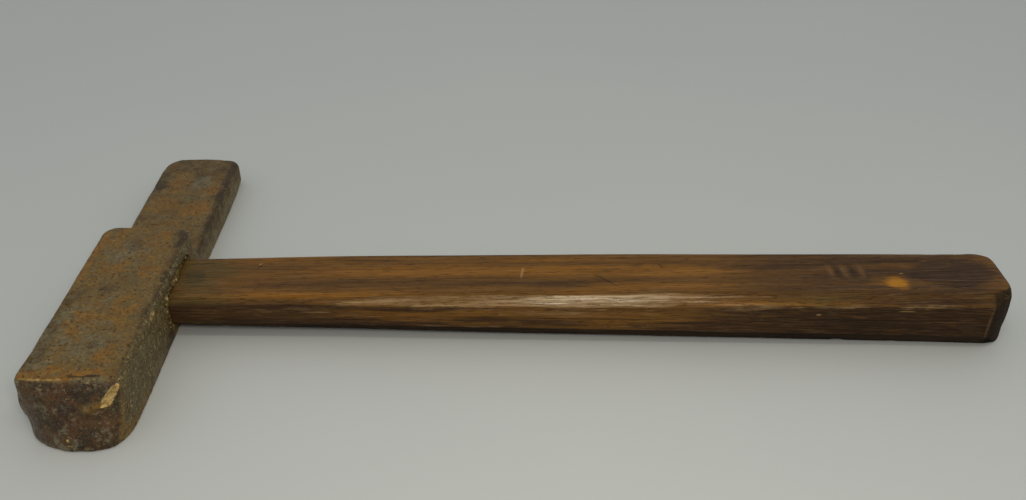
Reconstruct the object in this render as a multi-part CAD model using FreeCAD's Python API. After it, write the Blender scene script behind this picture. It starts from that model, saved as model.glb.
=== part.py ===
"""A hafted brick bolster: a one-piece forged head with a flat tongue, wedged on an eight-sided wooden handle.

Millimetres. The tool lies on its cheek. The origin is on that cheek, straight under the middle of the eye.
+X runs along the handle to its butt, +Y along the head to the end of the tongue, and +Z is up.
"""

import FreeCAD, Part
import math
import os

from FreeCAD import Vector

# Head: block
BLOCK_WIDTH = 45.0
BLOCK_THICKNESS = 31.8
BLOCK_FRONT = 85.4            # from the eye's middle to the top of the striking face
BLOCK_BACK = 36.4             # from the eye's middle to the shoulder
FOOT_FRONT = 98.0             # from the eye's middle to the foot of the sloping striking face
BOW_START_HANDLE_SIDE = 79.0  # seen from above, the foot bows from here
BOW_START_FAR_SIDE = 83.5
BOW_MIDDLE = 2.5              # the bow's furthest point along X
BACK_CORNER_HANDLE_SIDE = 9.0
BACK_CORNER_FAR_SIDE = 6.0
TOP_BEVEL_HANDLE_SIDE = 4.6   # the long upper edge beside the handle is worn more than the others
TOP_OUTLINE_EDGE = 1.4

# Head: tongue
TONGUE_END = 139.7            # from the eye's middle to the end of the tongue
TONGUE_THICKNESS = 15.9
TONGUE_FAR_SIDE = 21.0        # from the head's middle line; the other side is flush with the block
TONGUE_CORNER = 10.0
TONGUE_END_EDGE = 3.0
TONGUE_ROOT = 20.0            # the tongue's solid starts inside the block
SHOULDER_RADIUS = 5.0

# Eye: narrowest at its waist, and flared towards both sides of the block
EYE_HEIGHT = 16.2             # its axis, above the resting cheek
EYE_WAIST = 8.0               # the waist's place along X
WAIST_LENGTH, WAIST_DEPTH = 40.4, 15.2
MOUTH_LENGTH, MOUTH_DEPTH = 43.4, 18.8
FAR_LENGTH, FAR_DEPTH = 43.0, 18.0
EYE_CORNER = 6.0
MOUTH_CORNER = 7.0

# Packing: fills the flare on the handle's side and stands out of it as a bead
BEAD_HEIGHT = 3.0
BEAD_FOOT_LENGTH, BEAD_FOOT_DEPTH = 45.0, 20.4
BEAD_TOP_LENGTH, BEAD_TOP_DEPTH = 41.8, 16.8

# Handle
HANDLE_END = 437.5            # the butt, from the eye's middle
HANDLE_SKEW = -11.5           # the butt's middle lies this far towards the striking face
HANDLE_WIDTH_AT_HEAD = 40.4
HANDLE_WIDTH_AT_BUTT = 45.2
HANDLE_DEPTH_AT_HEAD = 15.2
HANDLE_DEPTH_AT_BUTT = 30.4
BEVEL_AT_HEAD = 2.0
BEVEL_AT_BUTT = 5.6
WIDTH_GROWTH = 2.2            # above 1, a size grows mostly near the butt
DEPTH_GROWTH = 0.72           # below 1, it grows mostly near the head
BEVEL_GROWTH = 0.62
HANDLE_STATIONS = 7
BUTT_START = 390.0            # the butt's own stretch begins here
BUTT_CORNER = 19.0            # the butt's corner on the tongue's side is rounded in plan
BUTT_BEVEL_LENGTH, BUTT_BEVEL_WIDTH = 12.5, 10.0     # the corner on the striking face's side is cut off
BUTT_EDGE = 2.0

# Tenon and wedges
TENON_PROUD = 1.5             # the tenon stands out of the eye on the far side
WOOD_WEDGE_LENGTH = 37.0
WOOD_WEDGE_THICK = 3.4
WOOD_WEDGE_TIP = 0.8
WOOD_WEDGE_DEPTH = 30.0
STEEL_WEDGE_WIDTH = 13.0
STEEL_WEDGE_THICK = 2.4
STEEL_WEDGE_TIP = 0.4
STEEL_WEDGE_DEPTH = 22.0
STEEL_WEDGE_SPACING = 18.0

HALF_WIDTH = BLOCK_WIDTH / 2
TENON_TIP = -HALF_WIDTH - TENON_PROUD


def edges_where(shape, test):
    """The edges whose middle point and bounding box satisfy the test."""
    chosen = []
    for edge in shape.Edges:
        middle = edge.valueAt((edge.FirstParameter + edge.LastParameter) / 2)
        if test(middle, edge.BoundBox):
            chosen.append(edge)
    return chosen


def near(a, b, within=0.05):
    return abs(a - b) < within


def rounded_rectangle(x, length, depth, corner):
    """A wire round the eye's axis in the plane of one X: length along Y, depth along Z, round corners."""
    hy, hz = length / 2 - corner, depth / 2 - corner
    arcs = []
    for turn, (cy, cz) in enumerate(((hy, hz), (-hy, hz), (-hy, -hz), (hy, -hz))):
        angles = [(turn + step) * math.pi / 2 for step in (0.0, 0.5, 1.0)]
        arcs.append([
            Vector(x, cy + corner * math.cos(angle), EYE_HEIGHT + cz + corner * math.sin(angle))
            for angle in angles])
    edges = []
    for arc, following in zip(arcs, arcs[1:] + arcs[:1]):
        edges.append(Part.Arc(*arc).toShape())
        edges.append(Part.LineSegment(arc[-1], following[0]).toShape())
    return Part.Wire(edges)


def loft(wires):
    return Part.makeLoft(wires, True, True)


def prism(points, direction):
    return Part.Face(Part.makePolygon(points + points[:1])).extrude(direction)


def eye_far_part():
    """From the waist to the side away from the handle."""
    return loft([
        rounded_rectangle(-HALF_WIDTH, FAR_LENGTH, FAR_DEPTH, MOUTH_CORNER),
        rounded_rectangle(EYE_WAIST, WAIST_LENGTH, WAIST_DEPTH, EYE_CORNER),
    ])


def eye_near_part():
    """From the waist to the handle's side."""
    return loft([
        rounded_rectangle(EYE_WAIST, WAIST_LENGTH, WAIST_DEPTH, EYE_CORNER),
        rounded_rectangle(HALF_WIDTH, MOUTH_LENGTH, MOUTH_DEPTH, MOUTH_CORNER),
    ])


def block_outline():
    """Room for the block seen from above: its striking end is bowed, and its back corners are round."""
    left, right = -HALF_WIDTH, HALF_WIDTH
    handle_side = Vector(right, -BOW_START_HANDLE_SIDE, 0)
    far_side = Vector(left, -BOW_START_FAR_SIDE, 0)
    bow = Part.Arc(handle_side, Vector(BOW_MIDDLE, -FOOT_FRONT, 0), far_side).toShape()
    back_corners = [Vector(left, BLOCK_BACK, 0), Vector(right, BLOCK_BACK, 0)]
    straights = Part.makePolygon([far_side] + back_corners + [handle_side])
    room = Part.Face(Part.Wire([bow] + straights.Edges)).extrude(Vector(0, 0, BLOCK_THICKNESS))
    for x, radius in ((right, BACK_CORNER_HANDLE_SIDE), (left, BACK_CORNER_FAR_SIDE)):
        upright = edges_where(room, lambda p, box: near(p.x, x) and near(p.y, BLOCK_BACK))
        room = room.makeFillet(radius, upright)
    return room


def block_shape():
    """The striking block: its face slopes outwards to a bowed foot, and one long edge is worn away."""
    profile = [
        Vector(-HALF_WIDTH, -FOOT_FRONT, 0),
        Vector(-HALF_WIDTH, -BLOCK_FRONT, BLOCK_THICKNESS),
        Vector(-HALF_WIDTH, BLOCK_BACK, BLOCK_THICKNESS),
        Vector(-HALF_WIDTH, BLOCK_BACK, 0),
    ]
    block = prism(profile, Vector(BLOCK_WIDTH, 0, 0)).common(block_outline())
    worn_edge = prism([
        Vector(HALF_WIDTH - TOP_BEVEL_HANDLE_SIDE, -FOOT_FRONT, BLOCK_THICKNESS),
        Vector(HALF_WIDTH, -FOOT_FRONT, BLOCK_THICKNESS - TOP_BEVEL_HANDLE_SIDE),
        Vector(BLOCK_WIDTH, -FOOT_FRONT, BLOCK_THICKNESS),
    ], Vector(0, FOOT_FRONT + BLOCK_BACK, 0))
    return block.cut(worn_edge)


def tongue_shape():
    """The flat tongue, half as thick as the block, with its far corners rounded in plan."""
    tongue = Part.makeBox(
        TONGUE_FAR_SIDE + HALF_WIDTH, TONGUE_END - TONGUE_ROOT, TONGUE_THICKNESS,
        Vector(-TONGUE_FAR_SIDE, TONGUE_ROOT, 0))
    uprights = edges_where(tongue, lambda p, box: near(p.y, TONGUE_END) and near(p.z, TONGUE_THICKNESS / 2))
    tongue = tongue.makeFillet(TONGUE_CORNER, uprights)
    end_top = edges_where(
        tongue, lambda p, box: near(p.z, TONGUE_THICKNESS) and p.y > TONGUE_END - TONGUE_CORNER)
    return tongue.makeFillet(TONGUE_END_EDGE, end_top)


def make_head():
    head = block_shape().fuse(tongue_shape()).removeSplitter()
    shoulder = edges_where(
        head,
        lambda p, box: near(p.z, TONGUE_THICKNESS) and near(p.y, BLOCK_BACK) and box.XLength > HALF_WIDTH)
    head = head.makeFillet(SHOULDER_RADIUS, shoulder)
    top_outline = edges_where(head, lambda p, box: near(p.z, BLOCK_THICKNESS) and p.x < HALF_WIDTH / 2)
    head = head.makeFillet(TOP_OUTLINE_EDGE, top_outline)
    return head.cut(eye_far_part()).cut(eye_near_part())


def growth(share, start, end, power):
    return start + (end - start) * share ** power


def handle_size(x):
    """At one X: half the width, half the depth, the bevel, and the middle's Y and Z."""
    share = (x - HALF_WIDTH) / (HANDLE_END - HALF_WIDTH)
    half_width = growth(share, HANDLE_WIDTH_AT_HEAD, HANDLE_WIDTH_AT_BUTT, WIDTH_GROWTH) / 2
    half_depth = growth(share, HANDLE_DEPTH_AT_HEAD, HANDLE_DEPTH_AT_BUTT, DEPTH_GROWTH) / 2
    bevel = growth(share, BEVEL_AT_HEAD, BEVEL_AT_BUTT, BEVEL_GROWTH)
    middle_z = EYE_HEIGHT + (HANDLE_DEPTH_AT_BUTT / 2 - EYE_HEIGHT) * share
    return half_width, half_depth, bevel, HANDLE_SKEW * share, middle_z


def handle_section(x):
    """The eight-sided section at one X."""
    half_width, half_depth, bevel, middle_y, middle_z = handle_size(x)
    corners = []
    for side_y, side_z in ((1, 1), (-1, 1), (-1, -1), (1, -1)):
        flat = (side_y * (half_width - bevel), side_z * half_depth)
        side = (side_y * half_width, side_z * (half_depth - bevel))
        corners += [side, flat] if side_y * side_z > 0 else [flat, side]
    points = [Vector(x, middle_y + y, middle_z + z) for y, z in corners]
    return Part.makePolygon(points + points[:1])


def butt_outline():
    """Room for the handle seen from above: a large round corner on one side and a flat bevel on the other."""
    end_width, _, _, end_y, _ = handle_size(HANDLE_END)
    start_width, _, _, start_y, _ = handle_size(BUTT_START)
    outline = [Vector(x, y, 0) for x, y in (
        (BUTT_START, start_y + start_width),
        (HANDLE_END, end_y + end_width),
        (HANDLE_END, end_y - end_width + BUTT_BEVEL_WIDTH),
        (HANDLE_END - BUTT_BEVEL_LENGTH, end_y - end_width),
        (BUTT_START, start_y - start_width),
    )]
    room = prism(outline, Vector(0, 0, BLOCK_THICKNESS))
    upright = edges_where(room, lambda p, box: near(p.x, HANDLE_END) and near(p.y, end_y + end_width))
    return room.makeFillet(BUTT_CORNER, upright)


def butt_profile():
    """Room for the handle seen from the side: the butt's upper and lower edges are slightly bevelled."""
    top = HANDLE_DEPTH_AT_BUTT
    outline = [Vector(x, -BLOCK_WIDTH, z) for x, z in (
        (BUTT_START, 0),
        (HANDLE_END - BUTT_EDGE, 0),
        (HANDLE_END, BUTT_EDGE),
        (HANDLE_END, top - BUTT_EDGE),
        (HANDLE_END - BUTT_EDGE, top),
        (BUTT_START, top),
    )]
    return prism(outline, Vector(0, 2 * BLOCK_WIDTH, 0))


def grip_shape():
    """The handle outside the head. Its last stretch is cut to the butt's outline and profile."""
    step = (BUTT_START - HALF_WIDTH) / (HANDLE_STATIONS - 1)
    shaft = loft([handle_section(HALF_WIDTH + step * i) for i in range(HANDLE_STATIONS)])
    butt = loft([handle_section(x) for x in (BUTT_START, HANDLE_END)])
    return shaft.fuse(butt.common(butt_outline()).common(butt_profile()))


def wedge(length, thick, tip, depth, along, middle_y=0.0):
    """A wedge driven from the tenon's end towards +X, its blade along Y or Z."""
    point = TENON_TIP + depth
    outline = [(TENON_TIP, -thick / 2), (TENON_TIP, thick / 2), (point, tip / 2), (point, -tip / 2)]
    if along == "Y":
        points = [Vector(x, middle_y - length / 2, EYE_HEIGHT + across) for x, across in outline]
        return prism(points, Vector(0, length, 0))
    points = [Vector(x, middle_y + across, EYE_HEIGHT - length / 2) for x, across in outline]
    return prism(points, Vector(0, 0, length))


def tenon_shape():
    """The handle inside the eye: straight to the waist, then spread by the wedges to fill the flare."""
    neck = loft([
        rounded_rectangle(x, WAIST_LENGTH, WAIST_DEPTH, EYE_CORNER) for x in (EYE_WAIST, HALF_WIDTH)])
    end = loft([
        rounded_rectangle(x, FAR_LENGTH, FAR_DEPTH, MOUTH_CORNER) for x in (TENON_TIP, -HALF_WIDTH)])
    return neck.fuse(eye_far_part()).fuse(end)


def make_packing(handle):
    bead = loft([
        rounded_rectangle(HALF_WIDTH, BEAD_FOOT_LENGTH, BEAD_FOOT_DEPTH, MOUTH_CORNER),
        rounded_rectangle(HALF_WIDTH + BEAD_HEIGHT, BEAD_TOP_LENGTH, BEAD_TOP_DEPTH, EYE_CORNER),
    ])
    return eye_near_part().fuse(bead).removeSplitter().cut(handle)


def build():
    wooden_wedge = wedge(WOOD_WEDGE_LENGTH, WOOD_WEDGE_THICK, WOOD_WEDGE_TIP, WOOD_WEDGE_DEPTH, "Y")
    steel_wedges = {
        name: wedge(STEEL_WEDGE_WIDTH, STEEL_WEDGE_THICK, STEEL_WEDGE_TIP, STEEL_WEDGE_DEPTH, "Z",
                    side * STEEL_WEDGE_SPACING / 2)
        for name, side in (("steel_wedge_front", -1), ("steel_wedge_back", 1))
    }
    handle = grip_shape().fuse(tenon_shape()).removeSplitter().cut(wooden_wedge)
    for steel in steel_wedges.values():
        handle = handle.cut(steel)
        wooden_wedge = wooden_wedge.cut(steel)
    parts = {
        "head": make_head(),
        "handle": handle,
        "eye_packing": make_packing(handle),
        "wooden_wedge": wooden_wedge,
    }
    parts.update(steel_wedges)
    return parts


os.makedirs("parts", exist_ok=True)
for name, shape in build().items():
    shape.exportStep(f"parts/{name}.step")
    print(f"{name}: {len(shape.Solids)} solid, valid {shape.isValid()}, {shape.Volume / 1000:.2f} cm3")
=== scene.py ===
import math

import bpy
import numpy as np
from mathutils import Matrix, Vector


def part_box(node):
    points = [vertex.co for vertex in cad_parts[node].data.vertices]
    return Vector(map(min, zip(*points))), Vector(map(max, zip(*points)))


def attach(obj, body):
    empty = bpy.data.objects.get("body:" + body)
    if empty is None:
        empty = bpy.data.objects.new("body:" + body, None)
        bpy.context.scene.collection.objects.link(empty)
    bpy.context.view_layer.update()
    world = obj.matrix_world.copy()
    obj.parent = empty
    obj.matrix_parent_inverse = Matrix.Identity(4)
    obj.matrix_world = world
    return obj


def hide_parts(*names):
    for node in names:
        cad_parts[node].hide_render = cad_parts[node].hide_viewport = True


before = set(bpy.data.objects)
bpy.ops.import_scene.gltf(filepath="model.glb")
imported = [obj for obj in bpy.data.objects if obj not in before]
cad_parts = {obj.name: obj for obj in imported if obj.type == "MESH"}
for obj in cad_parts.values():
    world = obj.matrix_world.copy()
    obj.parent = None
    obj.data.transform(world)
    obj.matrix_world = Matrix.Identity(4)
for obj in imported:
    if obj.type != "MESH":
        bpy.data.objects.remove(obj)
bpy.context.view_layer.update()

# ------------------------------------------------------------------ sizes, in millimetres

MM = 0.001


def node_box(name):
    """A CAD node's lowest and highest corners, in millimetres."""
    low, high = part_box(name)
    return [v / MM for v in low], [v / MM for v in high]


HEAD_LOW, HEAD_HIGH = node_box("head")
HANDLE_LOW, HANDLE_HIGH = node_box("handle")
PACKING_HIGH = node_box("eye_packing")[1]

HALF_WIDTH = HEAD_HIGH[0]
THICKNESS = HEAD_HIGH[2]
TONGUE_END = HEAD_HIGH[1]
FACE_TOP = -85.4              # where the striking face meets the block's top
FOOT_DEPTH = FACE_TOP - HEAD_LOW[1]
FOOT_MIDDLE = 3.0             # the bowed foot's furthest point along X
FACE_STEEPNESS = 0.94         # turns a distance along Y into one from the sloping face
BLOCK_BACK = 36.4
BACK_CORNERS = (8.5, 7.5)     # on the handle's side, and on the far side
BLOCK_FOOT_EDGE = 1.3
SHOULDER_RADIUS = 5.0
TONGUE_THICKNESS = 15.9
TONGUE_FAR_SIDE = 21.0
TONGUE_CORNERS = (5.8, 10.0)  # on the handle's side, and on the far side
SIDE_SWELL, BACK_SWELL, TONGUE_SWELL = 0.5, 0.4, 0.3    # how far the forging stands out of the plain shape

EYE_HEIGHT = 16.2
EYE_WAIST = 8.0
EYE_WAIST_HALF = (20.2, 7.6)
EYE_MOUTH_HALF = (21.7, 9.4)
EYE_FAR_HALF = (21.5, 9.0)
EYE_CORNER = 6.5
HANDLE_CORNER = 5.0           # of the packing's hole, round the handle
EYE_EDGE = 0.9
EYE_GAP = 0.15                # between the handle and the eye

BUTT = HANDLE_HIGH[0]
HANDLE_SKEW = -11.5           # how far the butt's middle lies towards the striking face
WIDTH_AT_HEAD, WIDTH_AT_BUTT, WIDTH_GROWTH = 40.4, 45.2, 2.2
DEPTH_AT_HEAD, DEPTH_AT_BUTT, DEPTH_GROWTH = 15.2, 30.4, 0.72
NEAR_BEVEL_START = BUTT - 12.8
NEAR_BEVEL_DEPTH = 10.0
FAR_CORNER_LENGTH, FAR_CORNER_DEPTH = 15.0, 13.0
BUTT_EDGE = 2.4
HIGHLIGHT_PLACE, HIGHLIGHT_LENGTH = 229.0, 40.0    # where the painted highlight on the worn upper bevel is brightest, and how far along it reaches

FLOOR_HALF = 4.0              # in metres


# ------------------------------------------------------------------ repeatable noise

def cell_value(i, j, k, seed):
    """A repeatable value from -1 to 1 for each whole-number cell."""
    mix = (i * 374761393 + j * 668265263 + k * 1440662683 + seed * 974634777) & 0xFFFFFFFF
    mix = ((mix ^ (mix >> 13)) * 1274126177) & 0xFFFFFFFF
    return ((mix ^ (mix >> 16)) & 0xFFFF) / 32767.5 - 1.0


def noise(points, size, seed=0):
    """Smooth noise from -1 to 1 with lumps about one size across. size may differ by axis."""
    place = points / np.asarray(size, float) + 0.5 * seed
    cell = np.floor(place).astype(np.int64)
    part = place - cell
    part = part * part * (3 - 2 * part)
    total = 0.0
    for a in (0, 1):
        for b in (0, 1):
            for c in (0, 1):
                weight = (
                    (part[:, 0] if a else 1 - part[:, 0])
                    * (part[:, 1] if b else 1 - part[:, 1])
                    * (part[:, 2] if c else 1 - part[:, 2])
                )
                total = total + weight * cell_value(cell[:, 0] + a, cell[:, 1] + b, cell[:, 2] + c, seed)
    return total


def rough_noise(points, size, seed=0, layers=4, fade=0.55):
    """Several layers of noise, each twice as fine and weaker than the last."""
    total, weight, whole = 0.0, 1.0, 0.0
    size = np.asarray(size, float)
    for layer in range(layers):
        total = total + weight * noise(points, size / 2**layer, seed + 17 * layer)
        whole += weight
        weight *= fade
    return total / whole


def ramp(value, low, high):
    """0 below low, 1 above high, smooth between. low may be the higher one."""
    share = np.clip((value - low) / (high - low), 0, 1)
    return share * share * (3 - 2 * share)


def band(value, low, high, soft):
    """1 between low and high, fading out over soft."""
    return ramp(value, low - soft, low + soft) * ramp(value, high + soft, high - soft)


def spot(a, b, at, half, ragged=0.0):
    """1 in the middle of an oval, 0 outside it. ragged is noise that breaks up its edge."""
    far = np.hypot((a - at[0]) / half[0], (b - at[1]) / half[1]) + ragged
    return ramp(far, 1.25, 0.65)


# ------------------------------------------------------------------ meshes

def marked(marks, surfaces, ragged):
    """What a table of oval marks adds to each mask. A surface is where it lies and two coordinates on it."""
    added = {mask: 0.0 for mask, _ in marks}
    for (mask, surface), ovals in marks.items():
        where, a, b = surfaces[surface]
        for at_a, at_b, half_a, half_b, amount in ovals:
            added[mask] = added[mask] + amount * where * spot(a, b, (at_a, at_b), (half_a, half_b), ragged)
    return added


def placed(name, data):
    """A new object, in the scene."""
    item = bpy.data.objects.new(name, data)
    bpy.context.scene.collection.objects.link(item)
    return item


def make_piece(name, points, faces, material, masks=None, replaces=None):
    """A smooth-shaded mesh piece riding on the one body.

    Points are in millimetres, and faces is a list of groups, each an array of three- or four-sided faces.
    """
    volume = 0.0
    for group in faces:
        for k in range(1, group.shape[1] - 1):
            first, second, third = points[group[:, 0]], points[group[:, k]], points[group[:, k + 1]]
            volume += np.einsum("ij,ij->i", first, np.cross(second, third)).sum()
    if volume < 0:
        faces = [group[:, ::-1] for group in faces]
    mesh = bpy.data.meshes.new(name)
    mesh.from_pydata((points * MM).tolist(), [], [face for group in faces for face in group.tolist()])
    mesh.shade_smooth()
    for label, values in (masks or {}).items():
        layer = mesh.attributes.new(label, "FLOAT", "POINT")
        layer.data.foreach_set("value", np.ascontiguousarray(values, dtype=np.float32))
    mesh.materials.append(material)
    piece = placed(name, mesh)
    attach(piece, "root")
    if replaces:
        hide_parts(replaces)
    return piece


def surface_net(field, low, high, cell):
    """Points and four-sided faces where field is zero: one point in each cell that the surface crosses."""
    counts = [int(math.ceil((b - a) / cell)) + 1 for a, b in zip(low, high)]
    cells = [n - 1 for n in counts]
    grid = np.meshgrid(*[a + cell * np.arange(n) for a, n in zip(low, counts)], indexing="ij")
    value = field(*grid)
    total, hits, crossings = np.zeros([3] + cells), np.zeros(cells), []
    for axis in range(3):
        first, second = [slice(None)] * 3, [slice(None)] * 3
        first[axis], second[axis] = slice(None, -1), slice(1, None)
        here, there = value[tuple(first)], value[tuple(second)]
        crosses = (here < 0) != (there < 0)
        share = np.where(crosses, here / np.where(crosses, here - there, 1.0), 0.0)
        place = [g[tuple(first)] for g in grid]
        place[axis] = place[axis] + share * cell
        others = [k for k in range(3) if k != axis]
        for shift in ((0, 0), (0, 1), (1, 0), (1, 1)):
            pick = [slice(None)] * 3
            for k, s in zip(others, shift):
                pick[k] = slice(s, s + cells[k])
            pick = tuple(pick)
            hits += crosses[pick]
            for k in range(3):
                total[k] += np.where(crosses[pick], place[k][pick], 0.0)
        crossings.append((axis, others, crosses, here < 0))
    used = hits > 0
    number = np.full(cells, -1)
    number[used] = np.arange(used.sum())
    points = np.stack([t[used] / hits[used] for t in total], -1)
    faces = []
    for axis, (p, q), crosses, inside in crossings:
        at = np.argwhere(crosses)
        at = at[(at[:, p] > 0) & (at[:, q] > 0) & (at[:, p] < cells[p]) & (at[:, q] < cells[q])]
        ring = []
        for shift in ((0, 0), (1, 0), (1, 1), (0, 1)):
            beside = at.copy()
            beside[:, p] -= shift[0]
            beside[:, q] -= shift[1]
            ring.append(number[beside[:, 0], beside[:, 1], beside[:, 2]])
        quad = np.stack(ring, -1)
        turned = inside[at[:, 0], at[:, 1], at[:, 2]] == (axis == 1)
        quad[turned] = quad[turned][:, ::-1]
        faces.append(quad)
    return points, np.concatenate(faces)


def slopes(field, points, step=0.15):
    """The field's value at each point and its direction of growth."""
    x, y, z = points.T
    growth = np.stack([
        field(x + step, y, z) - field(x - step, y, z),
        field(x, y + step, z) - field(x, y - step, z),
        field(x, y, z + step) - field(x, y, z - step),
    ], -1) / (2 * step)
    return field(x, y, z), growth


def settle(field, points, rounds=3):
    """Moves points on to the surface, and gives their normals."""
    for _ in range(rounds):
        value, growth = slopes(field, points)
        steep = np.maximum((growth**2).sum(1), 0.05)
        points = points - growth * np.clip(value / steep, -0.5, 0.5)[:, None]
    _, growth = slopes(field, points)
    return points, growth / np.maximum(np.linalg.norm(growth, axis=1, keepdims=True), 1e-6)


def round_and(a, b, radius):
    """Where both are inside, with the edge between them rounded."""
    corner = np.hypot(np.maximum(a + radius, 0), np.maximum(b + radius, 0))
    return np.minimum(np.maximum(a, b), -radius) + corner


def round_or(a, b, radius):
    """Where either is inside, with the corner between them filled."""
    return -round_and(-a, -b, radius)


# ------------------------------------------------------------------ node materials

def rgb(red, green, blue):
    """A colour given as 0 to 255 screen values."""
    shares = (v / 255 for v in (red, green, blue))
    return tuple(s / 12.92 if s < 0.0404 else ((s + 0.055) / 1.055) ** 2.4 for s in shares) + (1.0,)


class Look:
    """A material's node tree, built with short calls. Sizes are in millimetres on the object."""

    def __init__(self, name):
        self.material = bpy.data.materials.new(name)
        self.material.use_nodes = True
        self.tree = self.material.node_tree
        self.tree.nodes.clear()
        self.shader = self.add("ShaderNodeBsdfPrincipled")
        output = self.add("ShaderNodeOutputMaterial")
        self.tree.links.new(self.shader.outputs[0], output.inputs[0])
        self.place = self.add("ShaderNodeTexCoord").outputs["Object"]

    def add(self, kind, **settings):
        node = self.tree.nodes.new(kind)
        for key, value in settings.items():
            setattr(node, key, value)
        return node

    def put(self, value, socket):
        if isinstance(value, bpy.types.NodeSocket):
            self.tree.links.new(value, socket)
        else:
            socket.default_value = value

    def set(self, **values):
        """Values for the shader's own sockets. An underscore in a name stands for a space."""
        for label, value in values.items():
            self.put(value, self.shader.inputs[label.replace("_", " ")])

    def math(self, kind, *values):
        """Two or more values joined by one operation, from the first to the last."""
        total = values[0]
        for value in values[1:]:
            node = self.add("ShaderNodeMath", operation=kind)
            self.put(total, node.inputs[0])
            self.put(value, node.inputs[1])
            total = node.outputs[0]
        return total

    def plus(self, *values):
        return self.math("ADD", *values)

    def times(self, *values):
        return self.math("MULTIPLY", *values)

    def most(self, *values):
        return self.math("MAXIMUM", *values)

    def one_minus(self, value):
        return self.math("SUBTRACT", 1.0, value)

    def centred(self, value, amount):
        """A value from 0 to 1, moved down by a half and multiplied by amount."""
        return self.times(self.plus(value, -0.5), amount)

    def masks(self, labels):
        """The mesh's masks with these names, which stand in one string."""
        nodes = [self.add("ShaderNodeAttribute", attribute_name=label) for label in labels.split()]
        return [node.outputs["Fac"] for node in nodes]

    def texture(self, kind, size, stretch=(1, 1, 1), seed=0.0, **levels):
        """A texture node whose features are about one size across, stretched by axis."""
        mapping = self.add("ShaderNodeMapping")
        mapping.inputs["Scale"].default_value = [1 / (size * MM * s) for s in stretch]
        mapping.inputs["Location"].default_value = (seed, 1.7 * seed, -2.3 * seed)
        self.put(self.place, mapping.inputs["Vector"])
        node = self.add(kind)
        for label, level in {"Scale": 1.0, **levels}.items():
            node.inputs[label].default_value = level
        self.put(mapping.outputs[0], node.inputs["Vector"])
        return node

    def noise(self, size, stretch=(1, 1, 1), detail=3.0, roughness=0.55, seed=0.0):
        node = self.texture("ShaderNodeTexNoise", size, stretch, seed, Detail=detail, Roughness=roughness)
        return node.outputs[0]

    def even(self, *size_and_stretch, **settings):
        """Noise spread over the whole range from 0 to 1."""
        return self.ramp(self.noise(*size_and_stretch, **settings), 0.28, 0.72)

    def crystals(self, size, seed):
        """Three random values for each grain of a size."""
        split = self.add("ShaderNodeSeparateColor")
        self.put(self.texture("ShaderNodeTexVoronoi", size, seed=seed).outputs["Color"], split.inputs[0])
        return split.outputs

    def ramp(self, value, low, high, *bottom_and_top):
        """Rises smoothly from 0 where value is low to 1 where it is high, or from bottom to top if given."""
        node = self.add("ShaderNodeMapRange", interpolation_type="SMOOTHSTEP")
        labels = ("Value", "From Min", "From Max", "To Min", "To Max")
        for label, v in zip(labels, (value, low, high, *bottom_and_top)):
            self.put(v, node.inputs[label])
        return node.outputs["Result"]

    def patchy(self, value, low, high, *shakes):
        """A ramp of a value that textures make uneven. Each shake is a texture and an amount."""
        return self.ramp(self.plus(value, *(self.centred(*shake) for shake in shakes)), low, high)

    def mix(self, share, a, b, kind="MIX"):
        node = self.add("ShaderNodeMix", data_type="RGBA", blend_type=kind)
        for label, value in (("Factor_Float", share), ("A_Color", a), ("B_Color", b)):
            self.put(value, next(s for s in node.inputs if s.identifier == label))
        return next(s for s in node.outputs if s.identifier == "Result_Color")

    def between(self, share, first, second):
        """A colour between two that are given as 0 to 255 screen values."""
        return self.mix(share, rgb(*first), rgb(*second))

    def painted(self, colour, *layers):
        """A colour with layers over it. Each layer is where it lies, how strong it is, and its colour."""
        for where, amount, paint in layers:
            colour = self.mix(self.times(where, amount), colour, paint)
        return colour

    def mark(self, place, centre, half, turn):
        """1 at the middle of a small oval on the surface, 0 at its edge. turn is in degrees about Z."""
        node = self.add("ShaderNodeMapping", vector_type="TEXTURE")
        node.inputs["Location"].default_value = [v * MM for v in centre]
        node.inputs["Scale"].default_value = [v * MM for v in half]
        node.inputs["Rotation"].default_value = (0, 0, math.radians(turn))
        self.put(place, node.inputs["Vector"])
        ball = self.add("ShaderNodeTexGradient", gradient_type="SPHERICAL")
        self.put(node.outputs[0], ball.inputs[0])
        return ball.outputs["Fac"]

    def shaken(self, size, amount, seed):
        """The place on the object, moved about by up to amount."""
        shake = self.texture("ShaderNodeTexNoise", size, seed=seed).outputs["Color"]
        steps = (("SUBTRACT", 1, (0.5,) * 3), ("SCALE", "Scale", 2 * amount * MM), ("ADD", 1, self.place))
        for kind, label, value in steps:
            node = self.add("ShaderNodeVectorMath", operation=kind)
            self.put(shake, node.inputs[0])
            self.put(value, node.inputs[label])
            shake = node.outputs[0]
        return shake

    def bump(self, *layers):
        """Each layer is a height from 0 to 1 and the depth that it stands for, in millimetres."""
        normal = None
        for height, depth in layers:
            node = self.add("ShaderNodeBump")
            node.inputs["Strength"].default_value = 1.0
            node.inputs["Distance"].default_value = depth * MM
            self.put(height, node.inputs["Height"])
            if normal is not None:
                self.put(normal, node.inputs["Normal"])
            normal = node.outputs[0]
        self.put(normal, self.shader.inputs["Normal"])


# ------------------------------------------------------------------ the head

def front_face(x, z):
    """Where the striking face lies: straight along the top, bowed out at the foot."""
    left = np.clip((FOOT_MIDDLE - x) / (FOOT_MIDDLE + HALF_WIDTH), 0, 1)
    right = np.clip((x - FOOT_MIDDLE) / (HALF_WIDTH - FOOT_MIDDLE), 0, 1)
    bow = np.where(x < FOOT_MIDDLE, (1 - left**2) ** 0.75, (1 - right**2.6) ** 0.6)
    down = np.clip((THICKNESS - z) / THICKNESS, 0, 1)
    return FACE_TOP - FOOT_DEPTH * bow * (1 - (1 - down) ** 1.8)


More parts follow.
